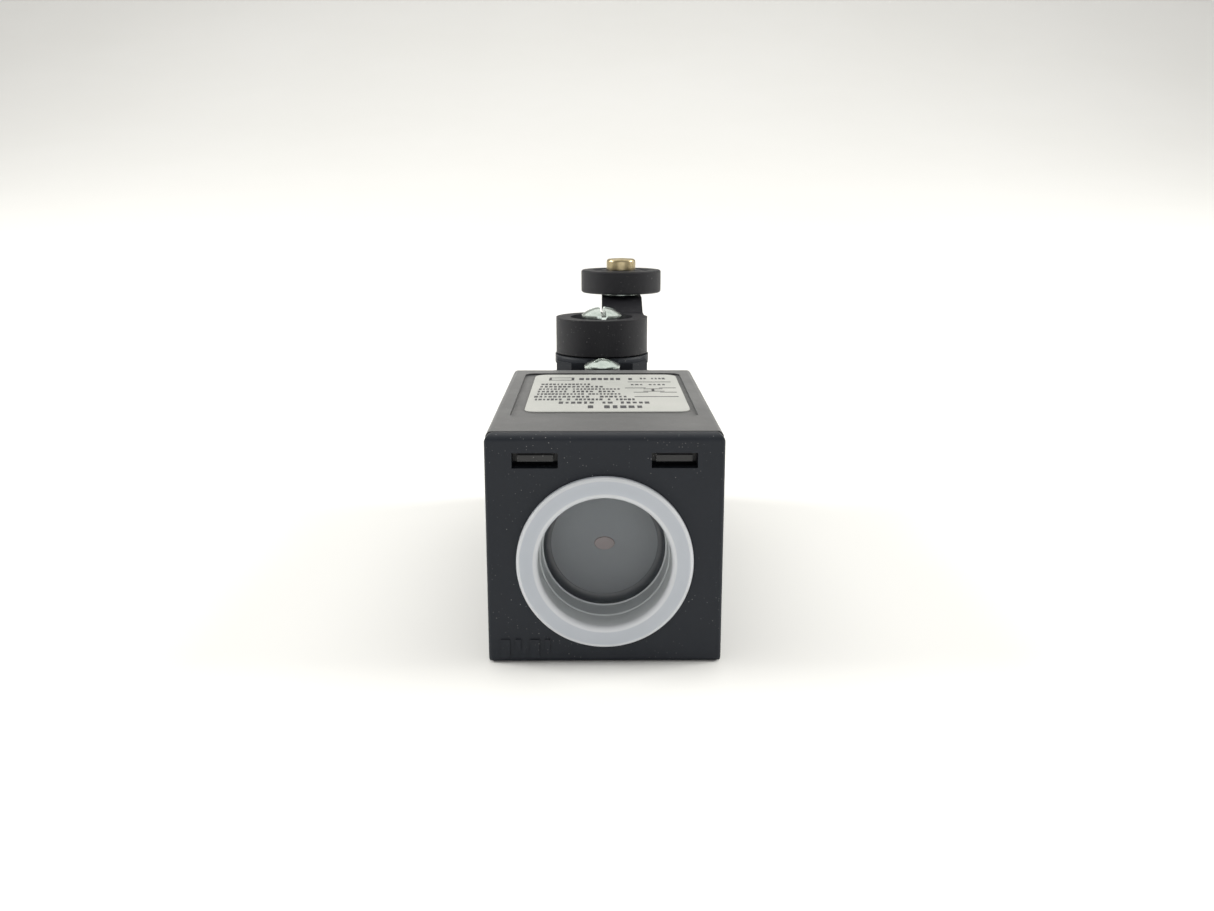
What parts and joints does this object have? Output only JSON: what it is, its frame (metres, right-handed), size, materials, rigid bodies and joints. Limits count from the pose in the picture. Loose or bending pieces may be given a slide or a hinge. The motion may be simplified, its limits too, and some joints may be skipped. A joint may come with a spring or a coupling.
{
  "type": "limit switch",
  "caption": "Position switch in a narrow moulded housing with a cranked roller lever on a turning head, a tilting front cover and a plugged conduit entry.",
  "frame": {"origin": "on the mounting face, midway between the two fixing holes", "axes": "+X across the housing, +Y from the conduit entry to the head, +Z out of the mounting face towards the cover"},
  "size_m": [0.03, 0.1023, 0.0465],
  "materials": {
    "housing_plastic": "fine moulded texture",
    "cover_plastic": "fine moulded texture",
    "lever_plastic": "glass-filled moulding",
    "plug_plastic": "translucent natural polyethylene",
    "zinc_steel": "zinc plated",
    "spring_steel": "drawn wire",
    "brass": "turned",
    "contact_copper": "stamped copper alloy",
    "block_plastic": "moulded contact block",
    "carrier_plastic": "moulded",
    "label_foil": "satin silver-white foil",
    "seal_rubber": "moulded rubber"
  },
  "bodies": {
    "housing": {"base_housing": "housing_plastic", "screw_insert": "brass", "contact_block_base": "block_plastic", "contact_block_cap": "block_plastic", "contact_nc_left": "contact_copper", "contact_nc_right": "contact_copper", "contact_no_left": "contact_copper", "contact_no_right": "contact_copper", "terminal_screws": "zinc_steel", "clamp_saddles": "zinc_steel", "block_screws": "zinc_steel", "return_spring": "spring_steel", "head_gasket": "seal_rubber", "head_housing": "housing_plastic", "head_screws": "zinc_steel", "plunger_guide": "block_plastic", "plunger_spring": "spring_steel", "shaft_bush": "brass", "shaft_seal": "seal_rubber"},
    "cover": {"front_cover": "cover_plastic", "cover_gasket": "seal_rubber", "nameplate": "label_foil", "cover_screw": "zinc_steel"},
    "plug": {"blanking_plug": "plug_plastic"},
    "plunger": {"head_plunger": "block_plastic"},
    "contacts": {"contact_carrier": "carrier_plastic", "bridge_nc": "contact_copper", "bridge_no": "contact_copper", "bridge_springs": "spring_steel"},
    "lever": {"lever_shaft": "zinc_steel", "cam": "zinc_steel", "cam_pin": "spring_steel", "circlip": "spring_steel", "lever_coupling": "zinc_steel", "lever_arm": "lever_plastic", "lever_washer": "zinc_steel", "lever_screw": "zinc_steel", "roller_bush": "brass", "roller_washer": "zinc_steel", "roller_axle": "brass"},
    "roller": {"roller": "lever_plastic"}
  },
  "joints": [
    {"name": "lever_swing", "type": "hinge", "parent": "housing", "child": "lever", "pos_m": [0, 0.015, 0.0337], "axis": [0, 0, 1], "range_deg": [-75, 75], "stiffness_Nm_per_rad": 0.05},
    {"name": "roller_spin", "type": "hinge", "parent": "lever", "child": "roller", "pos_m": [0.004, 0.0362, 0.0421], "axis": [0, 0, 1], "continuous": true},
    {"name": "plunger_travel", "type": "slide", "parent": "housing", "child": "plunger", "axis": [0, -1, 0], "range_m": [0, 0.003], "stiffness_N_per_m": 600, "springref_m": -0.004, "deforming": ["plunger_spring", "return_spring"]},
    {"name": "contact_travel", "type": "slide", "parent": "housing", "child": "contacts", "axis": [0, -1, 0], "range_m": [0, 0.003]},
    {"name": "cover_tilt", "type": "hinge", "parent": "housing", "child": "cover", "pos_m": [0, -0.0547, 0.03], "axis": [1, 0, 0], "range_deg": [0, 90]},
    {"name": "plug_pull", "type": "slide", "parent": "housing", "child": "plug", "axis": [0, -1, 0], "range_m": [0, 0.02]}
  ],
  "couplings": [
    {"joint": "contact_travel", "follows": "plunger_travel", "ratio": 1}
  ]
}
